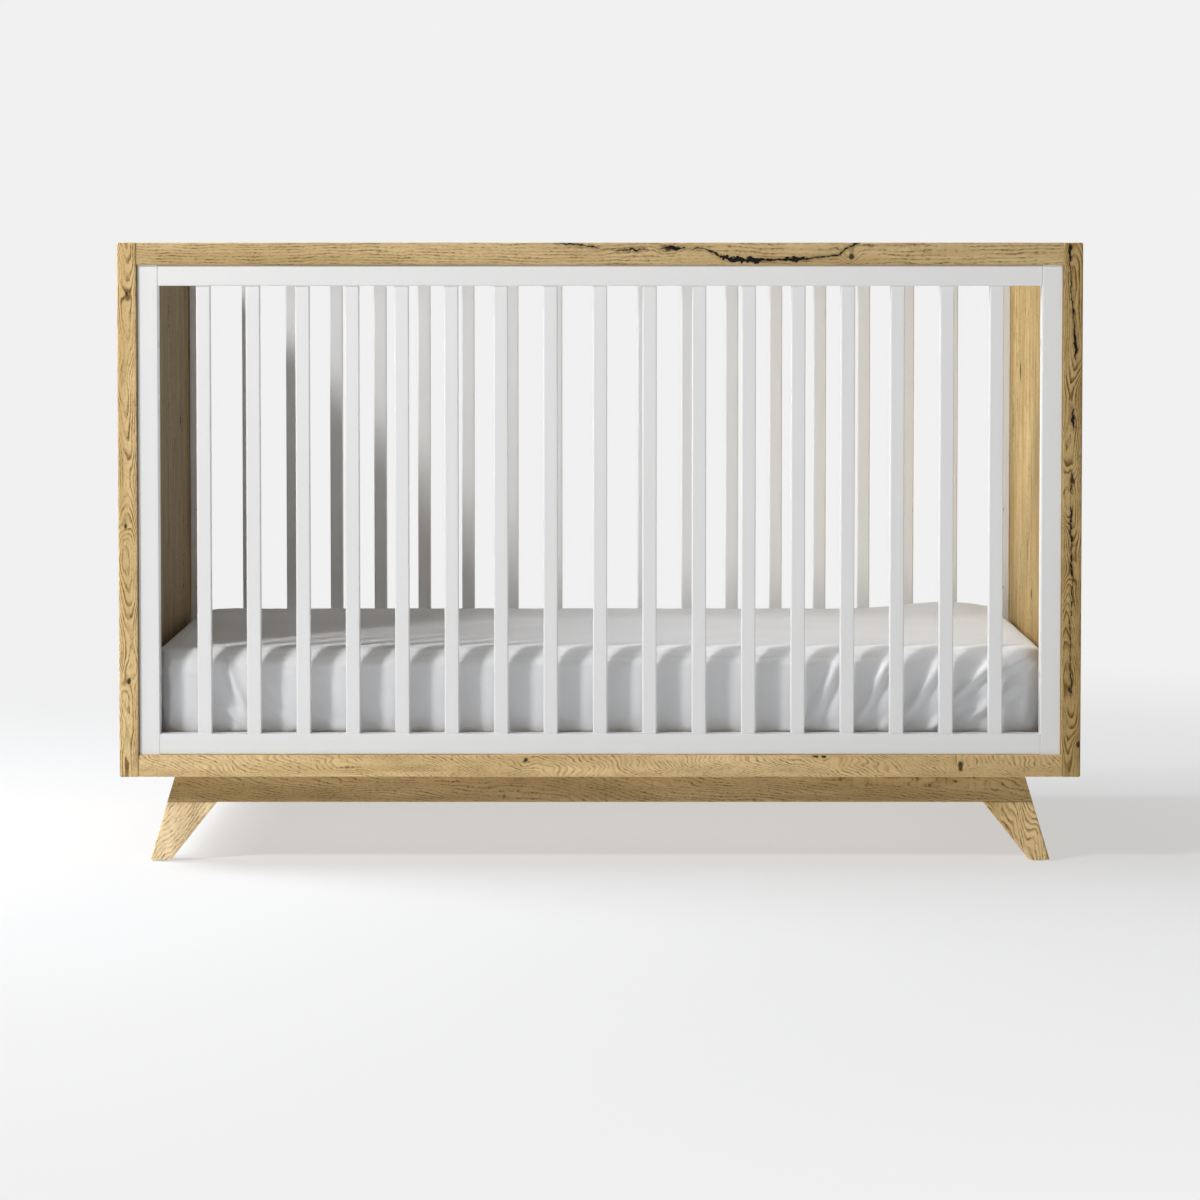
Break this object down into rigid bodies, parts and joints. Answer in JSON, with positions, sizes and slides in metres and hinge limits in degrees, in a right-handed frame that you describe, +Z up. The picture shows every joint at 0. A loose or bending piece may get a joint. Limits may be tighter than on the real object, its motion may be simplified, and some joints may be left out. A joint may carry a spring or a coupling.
{
  "type": "baby crib",
  "caption": "Slatted baby crib: oak case on splayed legs, white slatted gates, height-adjustable mattress support and a mattress in a fitted sheet.",
  "frame": {"origin": "on the floor under the middle of the crib", "axes": "+X along the crib's length to the right as seen from the front, +Y from the front gate to the back gate, +Z up"},
  "size_m": [1.386, 0.773, 0.898],
  "materials": {
    "oak": "matte",
    "white_lacquer": "satin",
    "birch": "matte",
    "beech": "matte",
    "black_steel": "matte",
    "zinc": "satin",
    "brass": "satin",
    "nylon": "matte",
    "cotton": "matte",
    "ticking": "matte"
  },
  "bodies": {
    "crib": {"left_end_panel": "oak", "right_end_panel": "oak", "front_top_rail": "oak", "front_bottom_rail": "oak", "back_top_rail": "oak", "back_bottom_rail": "oak", "front_apron": "oak", "back_apron": "oak", "left_cross_rail": "oak", "right_cross_rail": "oak", "front_left_leg": "oak", "back_left_leg": "oak", "front_right_leg": "oak", "back_right_leg": "oak", "front_left_stile": "white_lacquer", "back_left_stile": "white_lacquer", "front_right_stile": "white_lacquer", "back_right_stile": "white_lacquer", "front_gate_top_rail": "white_lacquer", "front_gate_bottom_rail": "white_lacquer", "back_gate_top_rail": "white_lacquer", "back_gate_bottom_rail": "white_lacquer", "front_slat_01": "white_lacquer", "front_slat_02": "white_lacquer", "front_slat_03": "white_lacquer", "front_slat_04": "white_lacquer", "front_slat_05": "white_lacquer", "front_slat_06": "white_lacquer", "front_slat_07": "white_lacquer", "front_slat_08": "white_lacquer", "front_slat_09": "white_lacquer", "front_slat_10": "white_lacquer", "front_slat_11": "white_lacquer", "front_slat_12": "white_lacquer", "front_slat_13": "white_lacquer", "front_slat_14": "white_lacquer", "front_slat_15": "white_lacquer", "front_slat_16": "white_lacquer", "front_slat_17": "white_lacquer", "back_slats": "white_lacquer", "dowels": "beech", "gate_bolts": "zinc", "hanger_bolts": "zinc", "leg_bolts": "zinc", "base_screws": "zinc", "panel_inserts": "brass", "support_inserts": "brass", "foot_glides": "nylon"},
    "mattress_support": {"support_front_rail": "birch", "support_back_rail": "birch", "support_left_rail": "birch", "support_right_rail": "birch", "support_slats": "birch", "support_hangers": "black_steel", "support_dowels": "beech", "slat_screws": "zinc", "hanger_screws": "zinc"},
    "bedding": {"mattress": "ticking", "fitted_sheet": "cotton"}
  },
  "joints": [
    {"name": "support_height", "type": "slide", "parent": "crib", "child": "mattress_support", "axis": [0, 0, 1], "range_m": [0, 0.254]},
    {"name": "mattress_lift", "type": "slide", "parent": "mattress_support", "child": "bedding", "axis": [0, 0, 1], "range_m": [0, 0.75]}
  ]
}
